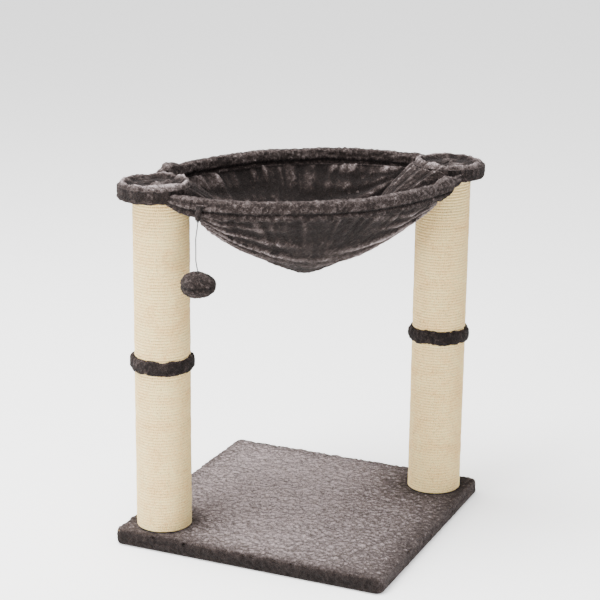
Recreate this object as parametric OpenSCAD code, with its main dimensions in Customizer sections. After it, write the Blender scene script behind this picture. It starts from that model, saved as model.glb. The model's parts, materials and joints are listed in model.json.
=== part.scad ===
// Cat tree: a plush base, two rope-wound posts on one diagonal, a hammock hung
// from an oval steel hoop between their tops, and a plush ball on a string.
//
// The origin is at the bottom centre of the base and +Z is up. The posts stand on
// the diagonal from the (-X, -Y) corner, which is "left", to the (+X, +Y) corner,
// which is "right". Most of the top is drawn in a diagonal frame, whose x axis
// runs from left to right and whose -y side is the front, by the (+X, -Y) corner.

/* [Base] */
// Side of the square base, over its plush
base_w = 400; // [340:10:480]
// Thickness of the base board
board_t = 18; // [15:1:25]
// Corner radius of the base, over its plush
base_corner_r = 12; // [6:1:30]
// Width of the plush turned under the board
hem_w = 30; // [20:1:40]
// Distance from the base's edges to a post's axis
post_inset = 52.5; // [48:0.5:70]

/* [Posts] */
// Outside diameter of the cardboard tubes
tube_d = 69; // [56:1:80]
// Wall of the cardboard tubes
tube_wall = 4; // [2.5:0.5:6]
// Diameter of the rope wound on the tubes
rope_d = 4; // [3:0.5:8]
// Length of one post half
segment_len = 233.5; // [150:0.5:320]
// Height of the plush band round each post's middle
band_h = 20; // [14:1:40]
// How far the plush band stands out from the rope
band_t = 5.5; // [3:0.5:10]

/* [Plush] */
// Backing and pile of the plush where it shows
plush_t = 2.5; // [1.5:0.5:4]
// The same plush pressed flat under the base board
hem_t = 1.5; // [1:0.5:3]

/* [Post tops] */
// Radius of the round cap on a post, over its plush
cap_r = 50; // [46:1:60]
// How far a cap's centre stands outwards of the post's axis
cap_shift = 8; // [0:1:14]
// Thickness of each of the two plywood discs in a cap
disc_t = 7.5; // [6:0.5:12]

/* [Hammock] */
// Half the hammock's width across the diagonal, at the middle of the rod
hoop_half_w = 130; // [100:1:156]
// Radius of the hoop's two end arcs
hoop_end_r = 85; // [70:1:98]
// How far outwards of the top bolt the rod passes
rod_past_bolt = 14; // [14:1:24]
// Diameter of the hoop's steel rod
rod_d = 6; // [4:0.5:7]
// How far the front of the hoop lies lower, in degrees
hoop_tilt = 4; // [0:0.5:4]
// Height of the padded sleeve on the rod
sleeve_h = 24; // [18:1:34]
// Thickness of the padded sleeve
sleeve_t = 14; // [11:1:20]
// Depth of the bowl below the sleeve
bowl_depth = 116; // [60:1:140]
// Thickness of the bowl's fabric
bowl_t = 3; // [2:0.5:5]

/* [Toy] */
// Distance along the front sleeve from its left end to the toy's tab
toy_past_end = 5; // [5:1:40]
// Length of the tab that holds the string
tab_len = 16; // [12:1:24]
// Half the width of the plush ball
ball_r = 24.5; // [15:0.5:28]
// Half the height of the plush ball
ball_half_h = 18; // [12:0.5:22]
// Diameter of the string
string_d = 1.6; // [1:0.2:3]

/* [Fasteners] */
// Nominal diameter of the bolts and studs
bolt_d = 8; // [6:1:8]
// Depth of the bolt head's recess under the base
recess_depth = 10; // [9:0.5:11]
// Diameter of the bolt head's recess
recess_d = 22; // [20:1:28]
// Thickness of the plugs in the tube ends
plug_t = 20; // [18:1:30]

/* [Hidden] */
$fn = 64;
fine = 128;                               // segments of a circle on the largest arcs
past = 1;                                 // how far a cut runs past the face it opens
base_h = hem_t + board_t + plush_t;
board_w = base_w - 2 * plush_t;
board_corner_r = base_corner_r - plush_t;
post_xy = base_w / 2 - post_inset;
post_a = post_xy * sqrt(2);               // the posts' distance from the centre
tube_bore = tube_d - 2 * tube_wall;
rope_od = tube_d + 2 * rope_d;
joint_z = base_h + segment_len;
top_z = joint_z + segment_len;            // the top of the posts
cap_h = 2 * plush_t + 2 * disc_t;
cap_a = post_a + cap_shift;               // a cap's distance from the centre
rod_z = top_z + cap_h / 2;                // the rod lies between the two discs
disc_r = cap_r - plush_t;
cap_edge_r = 2;
band_rise = 4.5;                          // the bands sit a little above the joints
SIDES = [["left", 180], ["right", 0]];    // each side and its turn in the diagonal frame

// Fasteners
bolt_clear = 0.1;                         // a bolt in a bored or threaded hole, on the radius
nut_od = bolt_d + 4;
nut_len = 14;
nut_sink = 0.5;
washer_od = 18;
washer_t = 1.6;
washer_clear = 0.5;                       // round the washer in its recess, on the radius
head_od = 13;
head_h = 5;
head_edge_r = 1.2;
key_af = 5;                               // the hexagon socket, across its flats
key_depth = 3;
bolt_engage = 12;                         // how far a bolt reaches into a plug
stud_len = 2 * bolt_engage;
base_seat_z = hem_t + recess_depth;       // where the base washer seats
top_seat_z = rod_z + disc_t - head_h - washer_t; // so the top bolt's head is flush with the disc
staple_w = 10;
staple_wire = 0.8;
staple_z = 0.2;                           // the staples' crowns are pressed into the hem
staple_leg = 7;
staples_per_side = 6;
screw_d = 3.5;
screw_len = 12;
screw_head_d = 7;
screw_head_h = 1.75;
screw_circle_r = 36;

// The hoop is an oval of four arcs: two ends of radius hoop_end_r and two sides
// of radius side_r, which meet where their tangents agree.
hoop_half_l = post_a + rod_past_bolt;
end_c = hoop_half_l - hoop_end_r;
side_r = (pow(end_c, 2) + pow(hoop_half_w, 2) - pow(hoop_end_r, 2)) / (2 * (hoop_half_w - hoop_end_r));
side_c = side_r - hoop_half_w;
meet_angle = atan2(side_c, end_c);        // where an end arc hands over to a side arc
cap_off = cap_a - end_c;
exit_angle = acos((pow(hoop_end_r, 2) + pow(cap_off, 2) - pow(cap_r, 2)) / (2 * cap_off * hoop_end_r));
sleeve_gap = 34;                          // from the cap's edge to the sleeve's end, along the rod
sleeve_angle = exit_angle + sleeve_gap / hoop_end_r * 180 / PI;
sleeve_above_rod = 7;
sleeve_mid = sleeve_above_rod - sleeve_h / 2;
weld_bead = 0.5;                          // how far a weld stands out from the rod
seam_ridge = 0.4;                         // how far a cross seam stands out from the sleeve
seam_angle = 2;                           // a weld's and a cross seam's length, on the end arc
sleeve_below_rod = sleeve_h - sleeve_above_rod;

// The bowl
bowl_gap = 0.4;                           // from the sleeve to the bowl's edge
bowl_inset = 4;                           // the bowl's edge inwards of the rod
cap_gap = 10;                             // from a cap's edge to the bowl's edge
notch_radius = max(cap_r, cap_shift + rope_od / 2) + cap_gap;
bowl_steps = 72;
bowl_rings = 7;
// The share of the bowl's depth that falls in a straight line: the fabric bellies
// out at the sides and is taut towards the caps
side_line = 0.6;
neck_line = 1;
taut_angle = 10;                          // taut up to here from the diagonal
slack_angle = 30;                         // and slack from here
neck_lift = sleeve_below_rod / 2;         // how much higher the bowl's edge is at the caps

// The toy
tab_w = 9;
tab_t = 6;
tab_gap = 0.5;                            // from the sleeve's outer side to the tab
tab_drop = 3;                             // the tab's top below the rod
pocket_d = 5;                             // the string's knot sits in a pocket of the tab
pocket_depth = 3;
knot_r = 2;
knot_drop = 1.2;                          // the knot's centre below the tab
toy_angle = sleeve_angle + toy_past_end / hoop_end_r * 180 / PI;
tab_turn = toy_angle < meet_angle ? toy_angle : side_angle(toy_angle);
tab_place = front_left(toy_angle, sleeve_t / 2 + tab_gap + tab_t / 2);
toy_a = tab_place[0];
toy_y = tab_place[1];
tab_top_z = rod_z + toy_y * sin(hoop_tilt) - tab_drop;
knot_z = tab_top_z - tab_len - knot_drop;
// The string's route down from the knot's centre, in the diagonal frame: it waves a little
string_points = [[0, 0, -2], [-1, 0, -10], [-2, 0, -16], [-3, 0, -24], [-3, 0, -34],
                 [-3, 0, -44], [-3, 0, -52], [-2, 0, -59], [-1, 0, -64], [0, 0, -68]];
string_drop = 68;
string_sides = 8;
ball_z = knot_z - string_drop - ball_half_h;
ball_edge_r = 0.85 * ball_half_h;         // radius of the rounder rim between the ball's flat sides

// ---- Shared shapes ----

// Draws its children in the diagonal frame.
module diagonal() rotate([0, 0, 45]) children();

// Draws its children on the post's axis on one side, with +x pointing outwards.
module at_post(turn) diagonal() rotate([0, 0, turn]) translate([post_a, 0, 0]) children();

module rounded_square(w, r) {
    square([w - 2 * r, w], center = true);
    square([w, w - 2 * r], center = true);
    for (x = [-1, 1], y = [-1, 1])
        translate([x * (w / 2 - r), y * (w / 2 - r)]) circle(r);
}

module ring(od, id, h) difference() {
    cylinder(d = od, h = h);
    translate([0, 0, -past]) cylinder(d = id, h = h + 2 * past);
}

// A disc with rounded edges, centred on the z axis.
module soft_disc(r, h, edge) rotate_extrude() {
    square([r - edge, h]);
    square([r, h - edge]);
    translate([0, edge]) square([r, h - 2 * edge]);
    translate([r - edge, h - edge]) circle(edge);
}

// Sweeps a section along the hoop's arcs. The section's origin is on the rod's
// line, its x points outwards and its y up. The stretch from the angle `from` on
// one end arc, over a side arc, to the other end arc is drawn on the front
// (side -1) or the back (side 1). Where two arcs meet, the second child joins them.
// A stretch that starts past the end arc lies on the side arc only.
module half_hoop(side, from) tilted() mirror([0, side > 0 ? 0 : 1, 0]) {
    if (from < meet_angle) for (e = [0, 1]) mirror([e, 0, 0]) translate([end_c, 0, 0]) {
        arc(from, meet_angle - from, hoop_end_r) children(0);
        arc(meet_angle - seam_angle / 2, seam_angle, hoop_end_r) children(1);
    }
    first = side_angle(max(from, meet_angle));
    translate([0, -side_c, 0]) arc(first, 180 - 2 * first, side_r) children(0);
}

// The angle on the side arc of what lies as far past the meeting point as the
// angle `t` would on the end arc.
function side_angle(t) = meet_angle + (t - meet_angle) * hoop_end_r / side_r;

// The point at the angle t, on the front left of the oval, `out` outwards of the rod's line.
function front_left(t, out) = t < meet_angle
    ? [-end_c - (hoop_end_r + out) * cos(t), -(hoop_end_r + out) * sin(t)]
    : [-(side_r + out) * cos(side_angle(t)), side_c - (side_r + out) * sin(side_angle(t))];

module arc(first, sweep, r) rotate([0, 0, first])
    rotate_extrude(angle = sweep, $fn = fine) translate([r, 0]) children();

// The hoop's plane, hinged about the diagonal.
module tilted() diagonal() translate([0, 0, rod_z]) rotate([hoop_tilt, 0, 0]) children();

// ---- Base ----

module base_board() color("burlywood") difference() {
    translate([0, 0, hem_t]) linear_extrude(board_t) rounded_square(board_w, board_corner_r);
    for (s = SIDES) at_post(s[1]) {
        cylinder(d = recess_d, h = base_seat_z);
        cylinder(d = bolt_d + 2 * bolt_clear, h = base_h + past);
    }
}

module base_cover() color("dimgray") difference() {
    linear_extrude(base_h) rounded_square(base_w, base_corner_r);
    translate([0, 0, hem_t]) linear_extrude(board_t) rounded_square(board_w, board_corner_r);
    translate([0, 0, -past]) linear_extrude(hem_t + 2 * past) square(base_w - 2 * hem_w, center = true);
    for (s = SIDES) at_post(s[1]) cylinder(d = bolt_d + 2 * bolt_clear, h = base_h + past);
}

// Wire staples hold the turned-under plush to the board.
module base_staples() color("silver") {
    span = base_w - 2 * hem_w;
    for (turn = [0, 90, 180, 270], i = [0:staples_per_side - 1])
        rotate([0, 0, turn])
            translate([(i + 0.5) * span / staples_per_side - span / 2, base_w / 2 - hem_w / 2, staple_z])
                staple();
}

module staple() {
    translate([-staple_w / 2, -staple_wire / 2, 0]) cube([staple_w, staple_wire, staple_wire]);
    for (x = [-staple_w / 2, staple_w / 2 - staple_wire])
        translate([x, -staple_wire / 2, 0]) cube([staple_wire, staple_wire, staple_leg]);
}

// A round-headed bolt with a hexagon socket. Its head's underside is at z = 0 and
// its shank points up.
module bolt(len) color("silver") difference() {
    union() {
        translate([0, 0, -head_h]) soft_disc(head_od / 2, head_h, head_edge_r);
        cylinder(d = bolt_d, h = len);
    }
    translate([0, 0, -head_h - past]) cylinder(d = key_af / cos(30), h = key_depth + past, $fn = 6);
}

module washer() color("silver") ring(washer_od, bolt_d + 2 * bolt_clear, washer_t);

module base_bolt(turn) at_post(turn) translate([0, 0, base_seat_z - washer_t])
    bolt(base_h + bolt_engage - base_seat_z + washer_t);

module base_washer(turn) at_post(turn) translate([0, 0, base_seat_z - washer_t]) washer();

// ---- Posts ----

module tube(turn, z) at_post(turn) translate([0, 0, z])
    color("tan") ring(tube_d, tube_bore, segment_len);

module rope(turn, z) at_post(turn) translate([0, 0, z])
    color("wheat") ring(rope_od, tube_d, segment_len);

// A plug in a tube's end, with a hole for its threaded insert.
module plug(turn, z) at_post(turn) translate([0, 0, z])
    color("black") ring(tube_bore, nut_od, plug_t);

// The four threaded inserts of a post, a little sunk in their plugs.
module insert_nuts(turn) at_post(turn) color("silver")
    for (z = [base_h, joint_z]) {
        translate([0, 0, z + nut_sink]) ring(nut_od, bolt_d + 2 * bolt_clear, nut_len);
        translate([0, 0, z + segment_len - nut_sink - nut_len])
            ring(nut_od, bolt_d + 2 * bolt_clear, nut_len);
    }

module joint_stud(turn) at_post(turn) translate([0, 0, joint_z - stud_len / 2])
    color("silver") cylinder(d = bolt_d, h = stud_len);

// A plush ring that hides the joint between the post halves.
module post_band(turn) at_post(turn) translate([0, 0, joint_z - band_h / 2 + band_rise])
    color("dimgray") rotate_extrude() translate([rope_od / 2, 0]) intersection() {
        square([band_t, band_h]);
        union() {
            translate([0, band_t]) square([band_t, band_h - 2 * band_t]);
            for (y = [band_t, band_h - band_t]) translate([0, y]) circle(band_t);
        }
    }

// ---- Post tops ----

// The end arc of the rod, whose groove is cut half into each disc.
module rod_groove(turn) tilted() rotate([0, 0, turn]) translate([end_c, 0, 0])
    arc(-meet_angle, 2 * meet_angle, hoop_end_r) circle(d = rod_d);

module cap_disc(turn, z) color("burlywood") difference() {
    at_post(turn) translate([cap_shift, 0, z]) cylinder(r = disc_r, h = disc_t);
    at_post(turn) translate([0, 0, z - past]) cylinder(d = bolt_d + 2 * bolt_clear, h = disc_t + 2 * past);
    at_post(turn) translate([0, 0, top_seat_z]) cylinder(d = washer_od + 2 * washer_clear, h = 2 * disc_t);
    at_screws(turn) screw();
    rod_groove(turn);
}

module at_screws(turn) at_post(turn)
    for (angle = [60, 120, 240, 300])
        translate([cap_shift + screw_circle_r * cos(angle), screw_circle_r * sin(angle), rod_z + disc_t])
            children();

// A countersunk wood screw that points down, with its head flush at z = 0.
module screw() {
    translate([0, 0, -screw_head_h]) cylinder(d1 = screw_d, d2 = screw_head_d, h = screw_head_h);
    translate([0, 0, -screw_len]) cylinder(d = screw_d, h = screw_len);
}

module cap_screws(turn) color("silver") at_screws(turn) screw();

module top_bolt(turn) at_post(turn) translate([0, 0, top_seat_z + washer_t]) mirror([0, 0, 1])
    bolt(top_seat_z + washer_t - top_z + bolt_engage);

module top_washer(turn) at_post(turn) translate([0, 0, top_seat_z]) washer();

module cap_cover(turn) color("dimgray") difference() {
    at_post(turn) translate([cap_shift, 0, top_z]) soft_disc(cap_r, cap_h, cap_edge_r);
    at_post(turn) translate([cap_shift, 0, top_z + plush_t]) cylinder(r = disc_r, h = 2 * disc_t);
    at_post(turn) translate([0, 0, top_z - past])
        cylinder(d = bolt_d + 2 * bolt_clear, h = plush_t + 2 * past);
    rod_groove(turn);
}

// ---- Hammock ----

// Four bent lengths of rod, with a bead of weld where they meet.
module hoop() color("gray") for (side = [-1, 1]) half_hoop(side, 0) {
    circle(d = rod_d);
    circle(d = rod_d + 2 * weld_bead);
}

// A padded plush sleeve round the rod, which ends a little short of both caps. Where
// it reaches onto the end arcs, two cross seams join its lengths.
module rim_sleeve(side) color("dimgray") difference() {
    half_hoop(side, sleeve_angle) {
        sleeve_section(0);
        sleeve_section(seam_ridge);
    }
    hoop();
}

module sleeve_section(grow) translate([0, sleeve_mid]) stadium(sleeve_t + 2 * grow, sleeve_h + 2 * grow);

module stadium(w, h) {
    square([w, h - w], center = true);
    for (y = [-1, 1]) translate([0, y * (h - w) / 2]) circle(d = w);
}

// The oval's distance from the centre in the direction t.
function oval_r(t) =
    let (c = abs(cos(t)), s = abs(sin(t)))
    let (join = atan2(hoop_end_r * sin(meet_angle), end_c + hoop_end_r * cos(meet_angle)))
    atan2(s, c) < join
        ? end_c * c + sqrt(pow(hoop_end_r, 2) - pow(end_c * s, 2))
        : -side_c * s + sqrt(pow(side_r, 2) - pow(side_c * c, 2));

// Above 0 in the directions t from the centre that run into a cap.
function cap_reach(t) = pow(notch_radius, 2) - pow(cap_a * sin(t), 2);

// The bowl's edge follows the oval, and goes round the inner side of each cap.
function bowl_r(t) =
    let (rim = oval_r(t) - bowl_inset)
    cap_reach(t) > 0 ? min(rim, cap_a * abs(cos(t)) - sqrt(cap_reach(t))) : rim;

// The edge hangs from the sleeves, and comes up to the caps at both ends.
function edge_z(t) =
    let (y = bowl_r(t) * sin(t), hang = rod_z + y * sin(hoop_tilt) - sleeve_below_rod - bowl_gap)
    cap_reach(t) > 0 ? hang + neck_lift : hang;

function line_share(t) =
    let (off = atan2(abs(sin(t)), abs(cos(t))), taut = (slack_angle - off) / (slack_angle - taut_angle))
    side_line + (neck_line - side_line) * max(0, min(1, taut));

// A point of the bowl, a share s of the way from its middle to its edge.
function bowl_point(t, s, thick) =
    let (r = bowl_r(t) * s, low = rod_z - sleeve_below_rod - bowl_depth, line = line_share(t))
    [r * cos(t), r * sin(t), low + (edge_z(t) - low) * (line * s + (1 - line) * s * s) + thick];

// The place in the bowl's list of points of step j on ring i, on the outside (k 0) or inside (k 1).
function at(k, i, j) = (k * bowl_rings + i - 1) * bowl_steps + j % bowl_steps;

module hammock_bowl() color("dimgray") diagonal() {
    n = bowl_steps;
    m = bowl_rings;
    shell = [for (thick = [0, bowl_t], i = [1:m], j = [0:n - 1])
        i < m ? bowl_point(j * 360 / n, i / m, thick)
              : bowl_point(j * 360 / n, 1, 0) - thick * [cos(j * 360 / n), sin(j * 360 / n), 0]];
    points = concat(shell, [bowl_point(0, 0, 0), bowl_point(0, 0, bowl_t)]);
    low_tip = 2 * m * n;
    faces = concat(
        [for (j = [0:n - 1]) [low_tip, at(0, 1, j), at(0, 1, j + 1)]],
        [for (j = [0:n - 1]) [low_tip + 1, at(1, 1, j + 1), at(1, 1, j)]],
        [for (i = [1:m - 1], j = [0:n - 1]) [at(0, i, j), at(0, i + 1, j), at(0, i + 1, j + 1)]],
        [for (i = [1:m - 1], j = [0:n - 1]) [at(0, i, j), at(0, i + 1, j + 1), at(0, i, j + 1)]],
        [for (i = [1:m - 1], j = [0:n - 1]) [at(1, i, j), at(1, i + 1, j + 1), at(1, i + 1, j)]],
        [for (i = [1:m - 1], j = [0:n - 1]) [at(1, i, j), at(1, i, j + 1), at(1, i + 1, j + 1)]],
        [for (j = [0:n - 1]) [at(0, m, j), at(1, m, j), at(1, m, j + 1)]],
        [for (j = [0:n - 1]) [at(0, m, j), at(1, m, j + 1), at(0, m, j + 1)]]);
    polyhedron(points = points, faces = faces, convexity = 4);
}

// ---- Toy ----

module at_toy(z) diagonal() translate([toy_a, toy_y, z]) children();

// A folded plush tab on the sleeve's outer side, with a pocket for the knot.
module toy_tab() color("dimgray") at_toy(tab_top_z - tab_len) difference() {
    rotate([0, 0, tab_turn]) translate([-tab_t / 2, -tab_w / 2, 0]) cube([tab_t, tab_w, tab_len]);
    translate([0, 0, -past]) cylinder(d = pocket_d, h = pocket_depth + past);
}

module toy_knot() color("gray") at_toy(knot_z) sphere(knot_r);

// A tube along the string's route, with one ring at each of its points.
module toy_string() color("gray") at_toy(knot_z) {
    n = string_sides;
    m = len(string_points);
    points = [for (p = string_points, j = [0:n - 1])
        p + [cos(j * 360 / n), sin(j * 360 / n), 0] * string_d / 2];
    faces = concat(
        [[for (j = [0:n - 1]) j]],
        [[for (j = [n - 1:-1:0]) (m - 1) * n + j]],
        [for (i = [0:m - 2], j = [0:n - 1])
            [i * n + j, (i + 1) * n + j, (i + 1) * n + (j + 1) % n]],
        [for (i = [0:m - 2], j = [0:n - 1])
            [i * n + j, (i + 1) * n + (j + 1) % n, i * n + (j + 1) % n]]);
    polyhedron(points = points, faces = faces);
}

// A stuffed ball, a little flat: the flat arcs meet a rounder rim.
module toy_ball() color("dimgray") at_toy(ball_z) rotate_extrude() intersection() {
    flat_oval(ball_r, ball_half_h, ball_edge_r);
    translate([0, -ball_half_h]) square([ball_r, 2 * ball_half_h]);
}

module flat_oval(a, b, end_r) {
    c = a - end_r;
    big = (c * c + b * b - end_r * end_r) / (2 * (b - end_r));
    turn = atan2(c, big - b);
    intersection() {
        translate([0, b - big]) circle(big, $fn = fine);
        translate([0, big - b]) circle(big, $fn = fine);
        square([2 * big * sin(turn), 2 * b], center = true);
    }
    for (x = [-c, c]) translate([x, 0]) circle(end_r);
}

// ---- Nodes ----

base_board();
base_cover();
base_staples();
for (s = SIDES) {
    base_bolt(s[1]);
    base_washer(s[1]);
    tube(s[1], base_h);
    tube(s[1], joint_z);
    rope(s[1], base_h);
    rope(s[1], joint_z);
    plug(s[1], base_h);
    plug(s[1], joint_z - plug_t);
    plug(s[1], joint_z);
    plug(s[1], top_z - plug_t);
    insert_nuts(s[1]);
    joint_stud(s[1]);
    post_band(s[1]);
    cap_disc(s[1], top_z + plush_t);
    cap_disc(s[1], rod_z);
    cap_screws(s[1]);
    top_bolt(s[1]);
    top_washer(s[1]);
    cap_cover(s[1]);
}
hoop();
rim_sleeve(-1);  // rim_sleeve_front
rim_sleeve(1);  // rim_sleeve_back
hammock_bowl();
toy_tab();
toy_knot();
toy_string();
toy_ball();
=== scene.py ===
import json
import math

import bpy
import numpy as np
from mathutils import Euler, Matrix, Vector


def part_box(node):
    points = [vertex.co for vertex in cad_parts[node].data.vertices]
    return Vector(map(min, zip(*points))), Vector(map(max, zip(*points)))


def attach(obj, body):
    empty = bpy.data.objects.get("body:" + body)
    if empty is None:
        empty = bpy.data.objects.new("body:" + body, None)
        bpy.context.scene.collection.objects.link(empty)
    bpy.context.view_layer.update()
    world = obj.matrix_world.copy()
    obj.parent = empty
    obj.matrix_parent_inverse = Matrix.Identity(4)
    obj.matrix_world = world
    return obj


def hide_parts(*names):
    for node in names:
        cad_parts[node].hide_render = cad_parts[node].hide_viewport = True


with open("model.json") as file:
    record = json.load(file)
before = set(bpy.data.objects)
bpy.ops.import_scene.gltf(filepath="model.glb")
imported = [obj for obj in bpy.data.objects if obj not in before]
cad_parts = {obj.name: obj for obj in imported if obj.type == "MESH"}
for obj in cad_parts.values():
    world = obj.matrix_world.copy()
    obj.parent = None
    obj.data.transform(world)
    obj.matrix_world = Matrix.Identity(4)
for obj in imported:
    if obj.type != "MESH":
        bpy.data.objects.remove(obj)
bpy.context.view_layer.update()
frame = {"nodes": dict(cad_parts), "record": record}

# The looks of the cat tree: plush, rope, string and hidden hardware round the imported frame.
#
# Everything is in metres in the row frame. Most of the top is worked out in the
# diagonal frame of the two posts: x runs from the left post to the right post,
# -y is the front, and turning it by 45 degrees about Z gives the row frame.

SEED = 7

# ---- Sizes that the frame gives ----

BASE_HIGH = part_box("base_cover")[1]
BOARD_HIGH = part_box("base_board")[1]
CAP_LOW, CAP_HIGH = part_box("cap_cover_right")
ROPE_LOW, ROPE_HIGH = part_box("lower_rope_right")
BAND_LOW, BAND_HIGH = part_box("post_band_right")
BALL_LOW, BALL_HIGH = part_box("toy_ball")
TAB_LOW, TAB_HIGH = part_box("toy_tab")
KNOT_LOW, KNOT_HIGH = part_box("toy_knot")
BOWL_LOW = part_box("hammock_bowl")[0]

BASE_TOP = BASE_HIGH.z
CAP_R = (CAP_HIGH.x - CAP_LOW.x) / 2
CAP_A = (CAP_HIGH.x + CAP_LOW.x) / 2 * math.sqrt(2)  # a cap's distance from the centre
POST_A = (ROPE_HIGH.x + ROPE_LOW.x) / 2 * math.sqrt(2)
ROPE_R = (ROPE_HIGH.x - ROPE_LOW.x) / 2
BAND_R = (BAND_HIGH.x - BAND_LOW.x) / 2
ROD_Z = (CAP_HIGH.z + CAP_LOW.z) / 2
KNOT = (KNOT_LOW + KNOT_HIGH) / 2
BALL = (BALL_LOW + BALL_HIGH) / 2

# ---- Sizes that the frame's boxes don't give, as the CAD has them ----

ROPE_D = 0.004
HOOP_END_R = 0.085
HOOP_HALF_W = 0.130
ROD_PAST_BOLT = 0.014
HOOP_TILT = math.radians(4)
SLEEVE_T = 0.014
SLEEVE_TOP = 0.007  # the sleeve's top above the rod
SLEEVE_BOTTOM = -0.017  # and its lower edge
HEM_W = 0.030
HEM_T = 0.0015
STAPLES_PER_SIDE = 6
# The string's route down from the knot's centre, in the diagonal frame
STRING_ROUTE = [(0, 0, -2), (-1, 0, -10), (-2, 0, -16), (-3, 0, -24), (-3, 0, -34),
                (-3, 0, -44), (-3, 0, -52), (-2, 0, -59), (-1, 0, -64), (0, 0, -68)]
STRING_D = 0.0016

# The hoop's oval: two end arcs and two side arcs
HOOP_HALF_L = POST_A + ROD_PAST_BOLT
END_C = HOOP_HALF_L - HOOP_END_R
SIDE_R = (END_C**2 + HOOP_HALF_W**2 - HOOP_END_R**2) / (2 * (HOOP_HALF_W - HOOP_END_R))
SIDE_C = SIDE_R - HOOP_HALF_W
MEET_ANGLE = math.atan2(SIDE_C, END_C)


# ---- Camera ----

AZIMUTH, ELEVATION, ROLL = 23.598, 16.075, 0.617
DISTANCE = 2.4925
LOOK_AT = Vector((-0.0066, -0.0029, 0.3265))
LENS, SENSOR = 106.9, 36
FAR_CLIP = 50


def make_camera():
    """Looks at the tree from the front left, a little from above."""
    turn = Euler((math.radians(90 - ELEVATION), 0, math.radians(AZIMUTH)), "XYZ").to_matrix()
    turn = turn @ Matrix.Rotation(math.radians(ROLL), 3, "Z")
    camera = bpy.data.objects.new("camera", bpy.data.cameras.new("camera"))
    camera.data.lens = LENS
    camera.data.sensor_width = SENSOR
    camera.data.clip_end = FAR_CLIP
    camera.matrix_world = Matrix.Translation(LOOK_AT + turn @ Vector((0, 0, DISTANCE))) @ turn.to_4x4()
    bpy.context.scene.collection.objects.link(camera)
    bpy.context.scene.camera = camera


# ---- Mesh helpers ----

def to_row(points):
    """Turns points from the diagonal frame into the row frame."""
    points = np.asarray(points, float)
    c = math.sqrt(0.5)
    out = points.copy()
    out[..., 0] = c * (points[..., 0] - points[..., 1])
    out[..., 1] = c * (points[..., 0] + points[..., 1])
    return out


def clamp(values):
    """Keeps values between 0 and 1."""
    return np.clip(values, 0, 1)


def full_turn(count):
    """Evenly spaced angles once round."""
    return np.linspace(0, 2 * math.pi, count, endpoint=False)


def noise(points, size, seed=0):
    """Smooth value noise from -1 to 1 at points, with bumps about `size` across."""
    p = np.asarray(points, float) / size + 100.0
    cell = np.floor(p).astype(np.int64)
    f = p - cell
    f = f * f * (3 - 2 * f)
    total = 0
    for corner in np.ndindex(2, 2, 2):
        h = (cell[..., 0] + corner[0]) * 73856093
        h ^= (cell[..., 1] + corner[1]) * 19349663
        h ^= (cell[..., 2] + corner[2]) * 83492791
        h ^= (SEED + seed) * 2654435761
        h = (h ^ (h >> 13)) * 1274126177 & 0x7FFFFFFF
        h ^= h >> 16
        weight = 1
        for axis in range(3):
            weight = weight * (f[..., axis] if corner[axis] else 1 - f[..., axis])
        total = total + weight * ((h & 0xFFFF) / 32767.5 - 1)
    return total


def grid_faces(rows, columns, close_rows=False, close_columns=True):
    """Quads of a grid of points, whose last row or column may join its first."""
    faces = []
    for i in range(rows if close_rows else rows - 1):
        for j in range(columns if close_columns else columns - 1):
            i2, j2 = (i + 1) % rows, (j + 1) % columns
            faces.append((i * columns + j, i * columns + j2, i2 * columns + j2, i2 * columns + j))
    return faces


def make_object(name, points, faces, material, smooth=True):
    """A mesh with one material, its faces outwards, in its material slot."""
    mesh = bpy.data.meshes.new(name)
    mesh.from_pydata([tuple(p) for p in np.asarray(points).reshape(-1, 3)], [], faces)
    mesh.validate()
    mesh.update()
    face_outward(mesh)
    mesh.polygons.foreach_set("use_smooth", [smooth] * len(mesh.polygons))
    obj = bpy.data.objects.new(name, mesh)
    obj.data.materials.append(material)
    bpy.context.scene.collection.objects.link(obj)
    return obj


def face_outward(mesh):
    """Turns every face over if the mesh is inside out."""
    count = len(mesh.polygons)
    centre, normal, area = np.zeros(count * 3), np.zeros(count * 3), np.zeros(count)
    mesh.polygons.foreach_get("center", centre)
    mesh.polygons.foreach_get("normal", normal)
    mesh.polygons.foreach_get("area", area)
    centre = centre.reshape(-1, 3) - centre.reshape(-1, 3).mean(0)
    if ((centre * normal.reshape(-1, 3)).sum(1) * area).sum() < 0:
        mesh.flip_normals()


def grid_object(name, points, material, close_rows=False, close_columns=True, ends=True):
    """A closed solid from rings of points: each open end is closed by a fan."""
    rows, columns = points.shape[:2]
    faces = grid_faces(rows, columns, close_rows, close_columns)
    all_points = points.reshape(-1, 3)
    if ends and not close_rows:
        for row, order in ((0, -1), (rows - 1, 1)):
            centre = len(all_points)
            all_points = np.vstack([all_points, points[row].mean(0)])
            ring = [row * columns + j for j in range(columns)]
            for j in range(columns):
                pair = (ring[j], ring[(j + 1) % columns])
                faces.append((*(pair if order > 0 else pair[::-1]), centre))
    return make_object(name, all_points, faces, material)


def read_points(obj):
    """A mesh's points."""
    co = np.zeros(len(obj.data.vertices) * 3)
    obj.data.vertices.foreach_get("co", co)
    return co.reshape(-1, 3)


def read_normals(obj):
    """The normals at a mesh's points."""
    n = np.zeros(len(obj.data.vertices) * 3)
    obj.data.vertex_normals.foreach_get("vector", n)
    return n.reshape(-1, 3)


def push_out(obj, amount):
    """Moves each point along its normal by its own amount."""
    points = read_points(obj) + read_normals(obj) * np.asarray(amount)[:, None]
    obj.data.vertices.foreach_set("co", points.ravel())
    obj.data.update()


def set_shade(obj, values):
    """Stores the tone with painted light and shade, from 0 for painted shade in creases to 1 for painted
    highlights on crests, for the plush and rope materials.
    """
    attribute = obj.data.attributes.new("ridge", "FLOAT", "POINT")
    attribute.data.foreach_set("value", clamp(values).astype(np.float32))


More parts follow.
